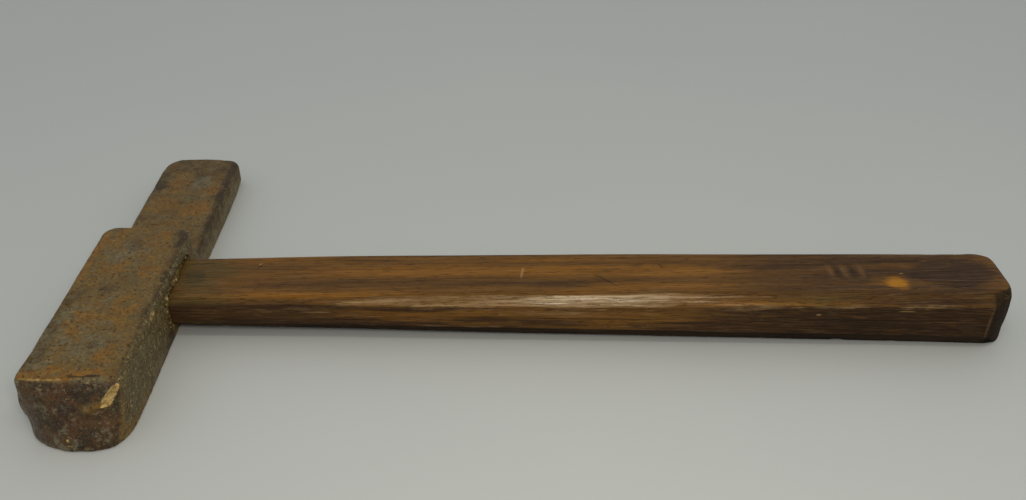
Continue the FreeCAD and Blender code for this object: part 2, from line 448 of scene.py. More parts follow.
CORNER_CHIP = ((22.6, -88.0, 29.8), (17.4, -91.6, 23.4), 3.0)
CHIPS = [
    # where it bites, the way it faces, the radius of the scoop, its depth
    ((-22.8, -85.0, 6.6), (-0.9, -0.4, 0.0), 3.0, 0.8),
    ((22.6, -62.0, 31.9), (0.7, 0.0, 0.7), 9.0, 0.5),
    ((-5.0, -85.8, 32.0), (0.0, -0.7, 0.7), 7.0, 0.4),
    ((22.4, -30.0, 26.0), (1.0, 0.0, 0.0), 2.6, 1.3),
]
LIP, LIP_TILT = (12.0, -90.2, 20.6), 0.22    # a smear of metal turned over on the striking face

HEAD_MARKS = {
    # mask and surface: the place on the surface, the half sizes there, and how much is added
    ("rust", "block_top"): [
        (13, -5, 6, 6, 0.5), (-3, -81.5, 19, 4.2, 1.1), (-8, -48, 9, 10, 0.25), (9, -35, 7, 16, 0.3),
        (-21, 12, 2.5, 26, 0.6), (12, -68, 6, 8, 0.35), (-9, 0, 5, 8, 0.3), (10, 25, 6, 6, 0.2),
    ],
    ("rust", "tongue_top"): [
        (-6, 111, 5, 12, 1.0), (-9, 83, 10, 9, 0.8), (15, 100, 4, 6, 0.8), (-15, 131, 4, 4, 0.6),
        (13, 84, 7, 12, 0.35), (22, 126, 3, 5, 0.5), (3, 60, 16, 8, 0.45), (8, 80, 8, 8, 0.4),
    ],
    ("rust", "face"): [
        (-1.5, 5.5, 2.2, 3.6, 2.0), (11.5, 20.8, 6.5, 2.4, 2.0), (-7, 17, 2.4, 2.4, 0.8), (15, 26, 3, 6, 0.4),
        (-15, 25, 5, 6, 0.5), (-13, 1, 6, 2, 0.6), (9, 3, 6, 2.5, 0.6),
    ],
    ("rust", "right"): [(-30, 18, 3.5, 4.0, 0.9)],
    ("bare", "block_top"): [
        (-8, 10, 7, 10, 0.55), (-17, -55, 6, 30, 0.5), (11, -84.5, 6, 3, 0.7), (1, -58, 11, 16, 0.5),
        (2, -30, 7, 9, 0.35), (3, 12, 5, 7, 0.35), (-8, -28, 8, 8, 0.25),
    ],
    ("bare", "tongue_top"): [
        (6, 109, 7, 10, 0.65), (3, 129, 10, 6, 0.3), (8, 92, 12, 4, 0.3), (-2, 74, 8, 5, 0.25),
    ],
    ("bare", "face"): [
        (8.5, 30.4, 7, 1.6, 1.0), (15, 6.5, 1.6, 4, 0.7), (-18, 19, 3, 2.5, 0.6), (-14, 13, 3, 3, 0.5),
        (-7, 22, 3, 2, 0.5), (-15.5, 26, 5, 5, 0.3),
    ],
    ("dark", "block_top"): [
        (-2, 19, 4, 6, 0.45), (-4, -19, 6, 4, 0.5), (20, 28, 6, 10, 0.5), (20, -30, 3, 55, 0.15),
        (-11, -60, 3, 3, 0.4), (-13, -20, 4, 4, 0.35), (4, -62, 3, 3, 0.35), (0, -8, 3, 3, 0.3),
    ],
    ("dark", "tongue_top"): [
        (21.5, 95, 3, 50, 0.45), (-18, 112, 4, 14, 0.4), (0, 45, 22, 6, 0.3), (-10, 64, 6, 1, 0.5),
    ],
    ("dark", "face"): [(-1, 14, 7, 16, 0.3), (5, 25, 7, 4, 0.25), (20, 10, 4, 7, 0.25), (-18, 8, 6, 8, 0.2)],
    ("dark", "right"): [(-30, 26, 3.0, 3.5, 1.0)],
    # pale spots: painted glints on the face, on the lip's ridge and on the side
    ("pale", "face"): [
        (8.5, 20.2, 2.0, 0.6, 0.35), (14, 21.6, 3.0, 0.6, 0.3), (-1.5, 6.5, 0.9, 1.2, 0.7),
        (-12, -0.2, 1.2, 1.0, 0.6), (13, -1, 1.2, 1.2, 0.5), (-11.5, 28, 1.0, 0.8, 0.5),
        (8, 30.6, 5, 0.7, 0.5), (-1, 3.5, 1.5, 0.6, 0.6),
    ],
    ("pale", "right"): [(-38, 29, 4, 2, 0.6)],
}


def scoop(x, y, z, at, facing, radius, depth):
    """Negative inside a ball that bites depth into the surface at a place."""
    out = np.array(facing) / np.linalg.norm(facing)
    middle = np.array(at) + out * (radius - depth)
    return np.sqrt(sum((v - m) ** 2 for v, m in zip((x, y, z), middle))) - radius


def groove(x, y, z, start, end, radius):
    """Negative inside a round-ended rod from start to end."""
    along = np.array(end) - start
    from_start = [v - s for v, s in zip((x, y, z), start)]
    share = np.clip(sum(v * a for v, a in zip(from_start, along)) / (along**2).sum(), 0, 1)
    return np.sqrt(sum((v - share * a) ** 2 for v, a in zip(from_start, along))) - radius


def block_field(x, y, z):
    """The striking block: worn along its edges, burred at the face, and bowed out at the foot."""
    low = ramp(z, 13.0, 2.0)
    front = (front_face(x, z) - y) * FACE_STEEPNESS
    burr = np.where(x > 0, 0.3, 0.9 + 1.5 * band(z, 11.0, 22.0, 5.0))
    burr = burr * ramp(y, -62.0, -86.0) * ramp(z, 7.5, 11.0)
    corner = np.where(x > 0, *BACK_CORNERS)
    plan = round_and(np.abs(x) - HALF_WIDTH - SIDE_SWELL - burr, y - BLOCK_BACK - BACK_SWELL, corner)
    plan = round_and(plan, front, np.where(x > 0, 1.3 + 5.0 * low + 1.8 * ramp(z, 26.0, 31.0), 2.4))
    top_edge = 1.5 + 2.6 * ramp(x, 10.0, 20.0) + 1.0 * ramp(y, -80.0, -84.0)
    return round_and(round_and(plan, z - THICKNESS, top_edge), -z, BLOCK_FOOT_EDGE)


def tongue_field(x, y, z):
    """The tongue: a flat bar with a crowned end, worn thin at its corners."""
    side = np.where(x > 0, x - HALF_WIDTH - SIDE_SWELL, -TONGUE_FAR_SIDE - TONGUE_SWELL - x)
    crown = 1.0 + 0.8 * np.clip(1 - (x / 18.0) ** 2, 0, 1)
    tongue = round_and(side, y - TONGUE_END - crown, np.where(x > 0, *TONGUE_CORNERS))
    top_edge = 1.7 + 1.6 * ramp(x, 5.0, 18.0) + 1.6 * ramp(y, 122.0, 137.0)
    tongue = round_and(tongue, z - TONGUE_THICKNESS, top_edge)
    return round_and(tongue, -z, 1.2 + 3.0 * ramp(y, 120.0, 138.0))


def eye_field(x, y, z):
    """The eye: a rounded rectangle that flares from its waist to both mouths."""
    mouth = np.clip((x - EYE_WAIST) / (HALF_WIDTH - EYE_WAIST), 0, None)
    far = np.clip((EYE_WAIST - x) / (EYE_WAIST + HALF_WIDTH), 0, None)
    half_y, half_z = (
        waist + (wide - waist) * mouth + (other - waist) * far
        for waist, wide, other in zip(EYE_WAIST_HALF, EYE_MOUTH_HALF, EYE_FAR_HALF)
    )
    return round_and(np.abs(y) - half_y, np.abs(z - EYE_HEIGHT) - half_z, EYE_CORNER)


def head_field(x, y, z):
    """Negative inside the forging, positive outside, in millimetres."""
    body = round_or(block_field(x, y, z), np.maximum(tongue_field(x, y, z), -y), SHOULDER_RADIUS)
    body = round_and(body, -eye_field(x, y, z), EYE_EDGE)
    for chip in CHIPS:
        body = round_and(body, -scoop(x, y, z, *chip), 0.5)
    body = round_and(body, -groove(x, y, z, *CORNER_CHIP), 0.4)
    tilted = z - LIP[2] - LIP_TILT * (x - LIP[0])
    lip = np.sqrt(((x - LIP[0]) / 6.0) ** 2 + ((y - LIP[1]) / 2.3) ** 2 + (tilted / 1.1) ** 2) - 1.0
    return round_or(body, lip * 1.1, 0.7)


def head_masks(points, normals):
    """How rusty, bare, dark, pale and gritty each point of the forging is, from 0 to 1. Pale marks painted
    glints and highlight lines, and the chip's bare metal.
    """
    x, y, z = points.T
    nx, ny, nz = normals.T
    ragged = 0.45 * rough_noise(points, 7.0, seed=3, layers=4)
    top, right, left = ramp(nz, 0.55, 0.85), ramp(nx, 0.5, 0.8), ramp(-nx, 0.5, 0.8)
    face = ramp(-ny, 0.45, 0.75) * (y < -60)
    block_top = top * (z > 25)
    tongue_top = top * (z < 22) * (y > 30)
    surfaces = {"block_top": (block_top, x, y), "tongue_top": (tongue_top, x, y)}
    surfaces.update({"face": (face, x, z), "right": (right, y, z)})
    added = marked(HEAD_MARKS, surfaces, ragged)

    rust = 0.62 + 0.45 * rough_noise(points, 26.0, seed=11) + 0.2 * rough_noise(points, 6.0, seed=5)
    rust += added["rust"] - 0.25 * right - 0.2 * left - 0.35 * face
    bare = 0.20 + 0.4 * rough_noise(points, 14.0, seed=21) - 0.15 * top + added["bare"]
    dark = 0.10 + 0.45 * np.clip(rough_noise(points, 11.0, seed=31), 0, 1) + 0.35 * face + added["dark"]
    grit = ramp(nx, 0.3, 0.7) * ramp(y, -22.0, -36.0) * (0.35 + 0.65 * ramp(z, 2.0, 10.0))
    rusted = [spot(x, z, *oval, ragged) for oval in (((11.5, 20.8), (6.5, 2.2)), ((-1.5, 5.5), (2.2, 3.4)))]
    scale_and_sheen = face * (1 - 0.8 * np.maximum(*rusted))

    chip = ramp(groove(x, y, z, *CORNER_CHIP), 0.45, 0.15) * (y < -80) * (z > 18)
    rust, bare, dark, grit, scale_and_sheen = (mask * (1 - chip) for mask in (rust, bare, dark, grit, scale_and_sheen))
    # the chipped corner takes the pale colour: bare metal with a painted highlight
    pale = added["pale"] + 0.58 * chip

    # the block's side, beside the handle
    beside_face = right * band(y, -60.0, -18.0, 6.0)
    dark += 0.35 * beside_face * ramp(z, 10.0, 4.0)
    bare += 0.3 * beside_face * ramp(z, 9.0, 5.0)
    dark += 0.25 * right * ramp(y, -34.0, -26.0) * ramp(y, 40.0, 30.0)
    grit += 0.55 * right * ramp(z, 20.0, 26.0) * band(y, -40.0, 22.0, 5.0)
    worn_edge = ramp(nx, 0.45, 0.75) * (1 - ramp(nz, 0.55, 0.8))
    grit += 0.75 * worn_edge * band(y, -30.0, 25.0, 4.0) * ramp(z, 7.0, 11.0)

    # the upright and the upper edges of the striking face: painted highlight lines along the upright edge and
    # the rim, and bare steel on the rim that is also a painted grey highlight
    crease = ramp(-nx * ny, 0.22, 0.42) * (nx > 0) * (y < -70)
    pale += 0.24 * crease * band(z, 6.0, 22.0, 3.0)
    grit *= 1 - 0.6 * crease
    rim = ramp(-nz * ny, 0.22, 0.42) * (z > 26)
    bare += 0.7 * rim * band(x, 1.0, 17.0, 3.0)
    rust -= 0.6 * rim * band(x, 1.0, 17.0, 3.0)
    pale += 0.50 * rim * ramp(z, 30.2, 31.2) * band(x, -21.0, -1.0, 2.0)

    # the block's top
    dark += (0.20 * band(x, 18.5, 23.0, 2.0) + 0.16 * ramp(nx * nz, 0.1, 0.4)) * (z > 24)
    dark += 0.36 * block_top * band(x, -24.0, -15.0, 2.5) * band(y, -78.0, -20.0, 8.0)
    off_crack = np.abs(y + 83.2 + 0.6 * noise(points, 3.0, 8))
    dark += 0.9 * block_top * band(x, 0.0, 14.0, 1.0) * ramp(off_crack, 0.55, 0.25)

    # the tongue
    tongue_side = right * (y > 36)
    dark += tongue_top * (0.06 + 0.35 * ramp(y, 95.0, 136.0))
    dark += tongue_side * (0.15 + 0.30 * ramp(z, 6.0, 10.0)) + 0.15 * ramp(nx * nz, 0.2, 0.4) * (y > 36)
    bare += 0.45 * tongue_side * ramp(z, 11.0, 7.0)
    rust -= 0.25 * tongue_side * ramp(z, 11.0, 7.0)
    masks = dict(rust=rust, bare=bare, dark=dark, pale=pale, grit=grit, face=scale_and_sheen)
    return {label: np.clip(mask, 0, 1) for label, mask in masks.items()}


def rusty_steel():
    """Old forged steel: brown forge crust, ochre and orange rust, bare grey patches, pits and scale, with
    painted glints and highlight lines, and a painted sheen on the striking face.
    """
    look = Look("rusty_forged_steel")
    rust, bare, dark, pale, grit, face = look.masks("rust bare dark pale grit face")
    fine = look.even(1.0, detail=3, roughness=0.7, seed=1)
    small = look.even(2.8, detail=5, roughness=0.65, seed=10)
    medium = look.even(7.0, detail=5, roughness=0.6, seed=2)
    broad = look.even(17, detail=3, seed=3)
    grain = look.crystals(0.8, seed=4)

    greyed = look.patchy(bare, 0.15, 1.00, (medium, -0.6), (small, 0.12))
    brown = look.patchy(rust, 0.20, 1.00, (medium, 0.7), (small, 0.2))
    orange = look.patchy(rust, 0.55, 1.28, (medium, 0.8), (small, 0.15))
    darkened = look.patchy(dark, 0.15, 1.00, (medium, 0.5), (small, 0.35))
    bruise = look.even(6.5, detail=4, roughness=0.55, seed=9)
    # the striking face: dark scale, whose grey patches are a painted sheen
    scale_and_sheen = look.painted(
        look.between(bruise, (96, 60, 34), (24, 23, 17)),
        (look.ramp(small, 0.60, 0.98), 0.6, rgb(92, 92, 78)),
        (look.ramp(medium, 0.62, 0.98), 0.8, rgb(136, 126, 98)),
    )
    colour = look.painted(
        look.between(broad, (110, 89, 48), (132, 102, 51)),
        (brown, 0.85, look.between(small, (106, 77, 28), (142, 110, 50))),
        (orange, 0.8, look.between(small, (128, 82, 16), (164, 114, 36))),
        (greyed, 0.75, look.between(small, (104, 96, 66), (150, 136, 98))),
        (darkened, 0.85, look.between(small, (28, 22, 10), (62, 50, 26))),
        (face, 0.78, scale_and_sheen),
    )
    colour = look.mix(0.55, colour, look.between(fine, (158, 156, 148), (255, 255, 255)), "MULTIPLY")

    speckle = look.ramp(look.noise(1.9, detail=3, roughness=0.7, seed=6), 0.55, 0.63)
    flecks = look.ramp(look.noise(1.3, detail=2, roughness=0.7, seed=7), 0.60, 0.70)
    painted_sparkle = look.ramp(look.noise(1.5, (1, 1, 1.6), detail=4, roughness=0.75, seed=12), 0.57, 0.68)
    # the gritty crust: its bright grains and sparks are painted glints
    gritty = look.painted(
        look.between(grain[1], (58, 48, 26), (112, 98, 62)),
        (look.ramp(medium, 0.5, 0.9), 0.6, rgb(84, 60, 30)),
        (look.ramp(grain[0], 0.80, 0.99), 0.45, rgb(176, 160, 112)),
        (painted_sparkle, 0.80, rgb(180, 164, 112)),
    )
    uneven = look.plus(look.times(fine, 0.4), look.times(small, 0.6))
    # pale: painted glints and highlight lines on the edges, the lip and the face, and the chip's bright metal
    painted_glint = look.patchy(pale, 0.25, 0.90, (small, 0.3), (fine, 0.12))
    colour = look.painted(
        colour,
        (speckle, 0.75, rgb(52, 30, 8)),
        (flecks, 0.32, rgb(176, 154, 106)),
        (look.patchy(grit, 0.25, 0.85, (medium, 0.5), (small, 0.3)), 0.85, gritty),
        (painted_glint, 1.0, look.between(uneven, (164, 124, 62), (228, 192, 122))),
    )

    dull = look.plus(0.56, look.times(greyed, -0.15), look.times(face, -0.22))
    dull = look.plus(dull, look.centred(fine, 0.15), look.centred(small, 0.15))
    look.set(Base_Color=colour, Roughness=look.most(dull, 0.25), Metallic=look.times(greyed, 0.25))
    look.set(Specular_IOR_Level=0.25)
    look.bump((medium, 0.45), (small, 0.22), (fine, 0.05), (look.times(grit, grain[0]), 0.25))
    return look.material


GRID_MARGIN, GRID_CELL = 4.2, 0.68


def make_head():
    low = [v - GRID_MARGIN for v in HEAD_LOW]
    high = [v + GRID_MARGIN for v in HEAD_HIGH]
    points, faces = surface_net(head_field, low, high, GRID_CELL)
    points, normals = settle(head_field, points)
    masks = head_masks(points, normals)
    x, y, z = points.T
    outside_eye = ramp(np.maximum(np.abs(y) - 22.0, np.abs(z - EYE_HEIGHT) - 9.8), 0.0, 1.5)
    forged = 0.30 * rough_noise(points, 17.0, seed=41, layers=2) - 0.02
    worn = 0.16 * rough_noise(points, 4.5, seed=43, layers=3)
    pits = -0.35 * ramp(rough_noise(points, 3.2, seed=45, layers=3), 0.30, 0.65)
    knocked = 0.45 * masks["face"] * rough_noise(points, 6.5, seed=49, layers=2)
    gritty = masks["grit"] * (0.26 * noise(points, 2.1, seed=47) + 0.16 * noise(points, 1.5, seed=48))
    points = points + normals * ((forged + worn + pits + knocked + gritty) * outside_eye)[:, None]
    points[:, 2] = np.maximum(points[:, 2], 0.0)
    return make_piece("head", points, [faces], rusty_steel(), masks, "head")


# ------------------------------------------------------------------ the handle

EYE_STEP, HANDLE_STEP, BUTT_STEP = 1.5, 1.15, 0.6    # between sections
BUTT_STRETCH = 22.0                                  # the butt's fine sections start this far before its end
EDGE_STEPS = (28, 4, 8, 4, 56, 8, 22, 8)
CORNER_STEPS = 5

HANDLE_MARKS = {
    # mask and surface: the place along the handle and across it, the half sizes, and how much is added
    ("dark", "top"): [(415, 0, 20, 12, 0.45), (32.5, 1, 6, 7, 0.55)],
    ("warm", "near"): [(355, 6.5, 6, 2.2, 0.7)],
    ("olive", "top"): [(33, 1, 9, 10, 0.5)],
    ("pale", "top"): [
        (407, 12, 8, 4, 0.26), (407, -10, 14, 2.4, 0.24), (52, -4, 6, 5, 0.16), (280, -15.5, 40, 3.5, 0.16),
    ],
    ("pale", "near"): [(149, 6, 6, 2.5, 0.14), (181, 7, 5, 2, 0.12)],
}
HANDLE_STRIPES = [
    # mask, surface, then a start, end and softness across the handle, the same along it, how much is added
    ("dark", "top", (-10.0, -3.5, 2.0), (60, 245, 20), 0.28),
    ("warm", "top", (0.0, 9.0, 2.5), (90, 300, 25), 0.55),
    ("warm", "top", (0.0, 8.0, 2.0), (165, 225, 10), 0.35),
    ("warm", "top", (-19.0, -13.0, 2.0), (65, 150, 12), 0.28),
    ("dark", "near", (5.0, 9.0, 1.2), (120, 300, 25), 0.20),
    ("warm", "near", (0.5, 4.5, 1.2), (35, 150, 15), 0.5),
    ("pale", "flecked", (1.2, 3.6, 1.0), (40, 135, 12), 0.30),
    ("pale", "flecked", (3.0, 5.2, 1.0), (190, 285, 20), 0.35),
]


def centre_line(x):
    """The handle's middle in Y and Z, and how far along it is from 0 at the eye to 1 at the butt."""
    share = np.clip((x - HALF_WIDTH) / (BUTT - HALF_WIDTH), 0, 1)
    return HANDLE_SKEW * share, EYE_HEIGHT - share, share


def half_sizes(share):
    """Half the handle's width and half its depth, a share of the way along it."""
    width = WIDTH_AT_HEAD + (WIDTH_AT_BUTT - WIDTH_AT_HEAD) * share**WIDTH_GROWTH
    depth = DEPTH_AT_HEAD + (DEPTH_AT_BUTT - DEPTH_AT_HEAD) * share**DEPTH_GROWTH
    return width / 2, depth / 2


def handle_corners(x):
    """The eight corners of each cross-section, bottom near corner first, and how far each is rounded."""
    middle_y, middle_z, share = centre_line(x)
    half_y, half_z = half_sizes(share)
    far = np.clip((EYE_WAIST - x) / (EYE_WAIST + HALF_WIDTH), 0, None)
    in_eye = ramp(x, HALF_WIDTH + 1.0, HALF_WIDTH - 4.0)
    half_y = half_y + in_eye * ((EYE_FAR_HALF[0] - EYE_WAIST_HALF[0]) * far - EYE_GAP)
    half_z = half_z + in_eye * ((EYE_FAR_HALF[1] - EYE_WAIST_HALF[1]) * far - EYE_GAP)

    end = np.clip((x - (BUTT - BUTT_EDGE)) / BUTT_EDGE, 0, 1)
    eased = BUTT_EDGE * (1 - np.sqrt(1 - 0.96 * end**2))
    past = np.clip((x - NEAR_BEVEL_START) / (BUTT - NEAR_BEVEL_START), 0, 1)
    near = middle_y - half_y + NEAR_BEVEL_DEPTH * (1 - (1 - past**1.2) ** 0.85)
    turn = np.clip((x - (BUTT - FAR_CORNER_LENGTH)) / FAR_CORNER_LENGTH, 0, 0.999)
    away = middle_y + half_y + 0.2 + 0.4 * ramp(x, 40.0, 120.0)
    away = away - FAR_CORNER_DEPTH * (1 - (1 - turn**3.0) ** 0.333)
    near, away = near + eased, away - eased
    top, bottom = middle_z + half_z - eased, middle_z - half_z + eased

    corner_cut = np.clip((x - NEAR_BEVEL_START) / 8.5, 0, 1)
    upper_y = (3.6 + 3.4 * share + in_eye) * (1 - 0.5 * corner_cut)
    upper_z = 3.3 + 0.9 * share + in_eye
    lower_y = (1.2 + 3.8 * share**0.6 + in_eye) * (1 - 0.88 * corner_cut)
    lower_z = (5.0 + 3.0 * share - 2.0 * in_eye) * (1 - 0.8 * corner_cut)
    far_y = (2.0 + 9.5 * (share - 0.38) ** 2) * (1 - 0.4 * turn)
    far_z = 2.6 + 1.6 * share
    corners = np.stack([np.stack(corner, -1) for corner in (
        (near + lower_y, bottom), (away - lower_y, bottom), (away, bottom + lower_z), (away, top - far_z),
        (away - far_y, top), (near + upper_y, top), (near, top - upper_z), (near, bottom + lower_z),
    )], 1)
    radius = np.repeat((3.4 - 2.3 * share**0.5 + 1.5 * in_eye)[:, None], 8, axis=1)
    radius[:, [0, 1, 7]] *= 0.6
    radius[:, [5, 6]] *= (1 + 0.5 * band(x, 80.0, 320.0, 30.0))[:, None]
    radius *= (1 + 1.2 * ramp(x, NEAR_BEVEL_START, BUTT - 3.0))[:, None]
    return corners, radius


def rounded_sections(corners, radius):
    """Points round each section: every corner is a short curve and every side is straight."""
    before, after = np.roll(corners, 1, 1) - corners, np.roll(corners, -1, 1) - corners
    long_before = np.linalg.norm(before, axis=2, keepdims=True)
    long_after = np.linalg.norm(after, axis=2, keepdims=True)
    reach = np.minimum(radius[:, :, None], 0.45 * np.minimum(long_before, long_after))
    start, end = corners + before / long_before * reach, corners + after / long_after * reach
    ring, on_corner = [], []
    for k, steps in enumerate(EDGE_STEPS):
        for t in np.linspace(0, 1, CORNER_STEPS):
            ring.append((1 - t) ** 2 * start[:, k] + 2 * t * (1 - t) * corners[:, k] + t * t * end[:, k])
        for t in np.arange(1, steps) / steps:
            ring.append((1 - t) * end[:, k] + t * start[:, (k + 1) % 8])
        on_corner += [True] * CORNER_STEPS + [False] * (steps - 1)
    return np.stack(ring, 1), np.array(on_corner)


def ring_faces(count, pairs):
    """Four-sided faces between pairs of rings. Each ring has count points and a number."""
    index = np.arange(count)
    following = np.roll(index, -1)
    return np.concatenate([
        np.stack([a * count + index, a * count + following, b * count + following, b * count + index], -1)
        for a, b in pairs
    ])


def loft(sections, x, first_cap, last_cap):
    """A closed mesh through sections placed at x, with shrinking rings over its ends. Caps are ring counts."""
    count = sections.shape[1]
    rings = [np.column_stack([np.full(count, place), section]) for place, section in zip(x, sections)]
    start, stop = rings[0], rings[-1]
    first = [start.mean(0) + (start - start.mean(0)) * (k / first_cap) for k in range(1, first_cap)]
    last = [stop.mean(0) + (stop - stop.mean(0)) * (k / last_cap) for k in range(last_cap - 1, 0, -1)]
    rings = first + rings + last
    points = np.concatenate(rings + [start.mean(0)[None], stop.mean(0)[None]])
    quads = ring_faces(count, [(k, k + 1) for k in range(len(rings) - 1)])
    index = np.arange(count)
    following = np.roll(index, -1)
    last_ring = (len(rings) - 1) * count
    fans = np.concatenate([
        np.stack([following, index, np.full(count, len(points) - 2)], -1),
        np.stack([last_ring + index, last_ring + following, np.full(count, len(points) - 1)], -1),
    ])
    return points, quads, fans, len(first), len(last)


def vertex_normals(points, faces):
    """Area-weighted normals of a mesh of four-sided faces."""
    a, b, c, d = (points[faces[:, k]] for k in range(4))
    face = np.cross(c - a, d - b)
    total = np.zeros_like(points)
    for k in range(4):
        np.add.at(total, faces[:, k], face)
    return total / np.maximum(np.linalg.norm(total, axis=1, keepdims=True), 1e-9)


def make_handle():
    x = np.concatenate([
        np.arange(HANDLE_LOW[0], HALF_WIDTH - 0.5, EYE_STEP),
        np.arange(HALF_WIDTH, BUTT - BUTT_STRETCH, HANDLE_STEP),
        np.arange(BUTT - BUTT_STRETCH, BUTT - BUTT_EDGE, BUTT_STEP),
        BUTT - BUTT_EDGE * (1 - np.sin(np.linspace(0, math.pi / 2, 7))),
    ])
    corners, radius = handle_corners(x)
    sections, ridge = rounded_sections(corners, radius)
    points, quads, fans, before, after = loft(sections, x, first_cap=14, last_cap=12)
    normals = vertex_normals(points, quads)
    middle_y, middle_z, share = centre_line(points[:, 0])
    rel_y, rel_z = points[:, 1] - middle_y, points[:, 2] - middle_z
    if (normals[:, 1] * rel_y + normals[:, 2] * rel_z).sum() < 0:
        normals = -normals
    ring_count = before + len(x) + after
    ring_of = np.append(np.repeat(np.arange(ring_count), len(ridge)), [0, ring_count - 1])
    on_end = (ring_of < before) | (ring_of >= before + len(x))
    on_ridge = np.append(np.tile(ridge, ring_count), [False, False]) & ~on_end
    masks = handle_masks(points, normals, rel_y, rel_z, share, on_end, on_ridge)

    grain = -0.12 * np.abs(rough_noise(points, (38.0, 1.7, 1.7), seed=61, layers=2))
    waves = 0.30 * noise(points, (70.0, 18.0, 18.0), seed=63) - 0.1
    dents = -0.45 * on_ridge * ramp(noise(points, (9.0, 5.0, 5.0), seed=65), 0.45, 0.85)
    small = -0.25 * ramp(noise(points, (5.0, 2.5, 2.5), seed=66), 0.72, 0.95)
    lift = np.where(on_end, 0.0, grain + waves * ramp(points[:, 0], 24.0, 60.0) + dents + small)
    points = points + normals * lift[:, None]
    crown = 1.9 * np.clip(1.0 - (rel_y / 24.0) ** 2 - (rel_z / 17.0) ** 2, 0, 1)
    at_butt = crown - 0.15 * np.abs(rough_noise(points, 1.6, seed=67))
    points[:, 0] += np.where(on_end & (points[:, 0] > 0), at_butt, 0.0)
    slot = ramp(np.abs(points[:, 2] - EYE_HEIGHT), 2.5, 1.9) * ramp(np.abs(points[:, 1]), 19.6, 18.8)
    at_tenon = 5.0 * slot + 0.5 * np.abs(rough_noise(points, 1.8, seed=68))
    points[:, 0] += np.where(on_end & (points[:, 0] < 0), at_tenon, 0.0)
    points[:, 2] = np.maximum(points[:, 2], 0.0)
    return make_piece("handle", points, [quads, fans], old_hickory(), masks, "handle")


